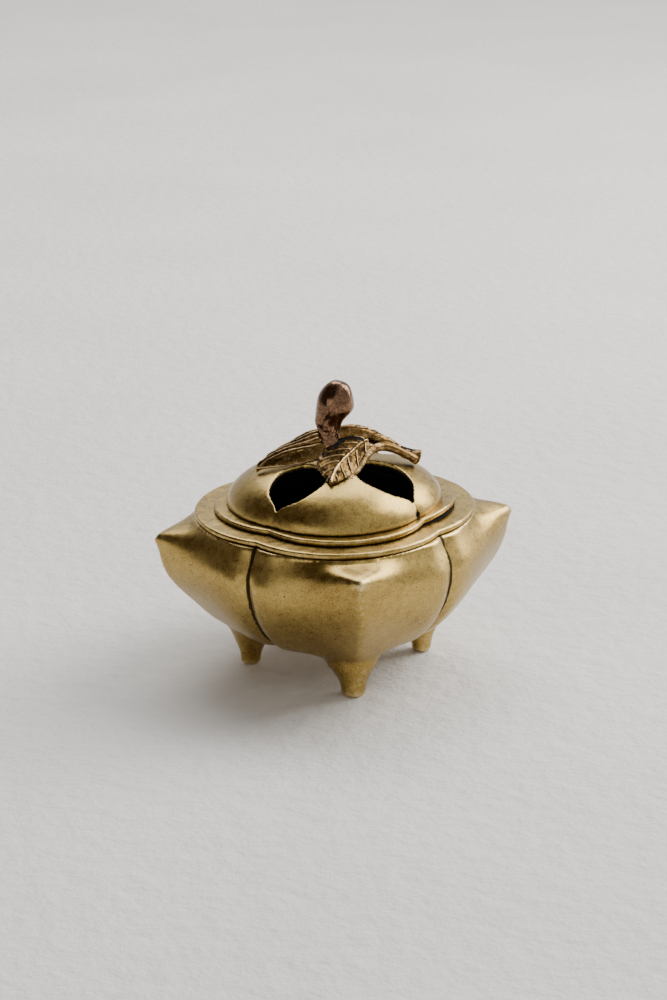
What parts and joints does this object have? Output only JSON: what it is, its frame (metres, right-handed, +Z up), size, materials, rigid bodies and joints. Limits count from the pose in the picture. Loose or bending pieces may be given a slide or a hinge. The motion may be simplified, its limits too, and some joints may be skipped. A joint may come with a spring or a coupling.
{
  "type": "lidded incense burner",
  "caption": "Small cast brass incense burner: a bowl with pointed lobes on flared feet, and a lift-off domed lid with heart-shaped vents and a budding twig for a handle.",
  "frame": {"origin": "on the ground under the bowl's axis, midway between the feet", "axes": "+Z up along the bowl's axis and the way the lid lifts; -Y is the front, where the broad leaf hangs; +X is to the right, where the twig's cut end points"},
  "size_m": [0.1086, 0.1086, 0.088],
  "materials": {
    "bowl": "satin antique brass, dark in the grooves",
    "mouth_collar": "satin antique brass",
    "foot_front": "satin antique brass",
    "foot_right": "satin antique brass",
    "foot_back": "satin antique brass",
    "foot_left": "satin antique brass",
    "lid_flange": "satin antique brass",
    "lid_locating_ring": "tarnished brass",
    "lid_dome": "satin antique brass, near black inside",
    "finial_stem": "brown patina with worn high spots",
    "finial_bud": "red-brown patina, burnished",
    "finial_rivet": "tarnished brass",
    "rivet_washer": "tarnished brass",
    "twig": "brown patina with bright worn edges",
    "leaf_left": "brown patina with bright worn edges",
    "leaf_front": "brown patina with bright worn edges"
  },
  "bodies": {
    "bowl": {"bowl": "bowl", "mouth_collar": "mouth_collar", "foot_front": "foot_front", "foot_right": "foot_right", "foot_back": "foot_back", "foot_left": "foot_left"},
    "lid": {"lid_flange": "lid_flange", "lid_locating_ring": "lid_locating_ring", "lid_dome": "lid_dome", "finial_stem": "finial_stem", "finial_bud": "finial_bud", "finial_rivet": "finial_rivet", "rivet_washer": "rivet_washer", "twig": "twig", "leaf_left": "leaf_left", "leaf_front": "leaf_front"}
  },
  "joints": [
    {"name": "lid_lift", "type": "slide", "parent": "bowl", "child": "lid", "axis": [0, 0, 1], "range_m": [0, 0.06]}
  ]
}
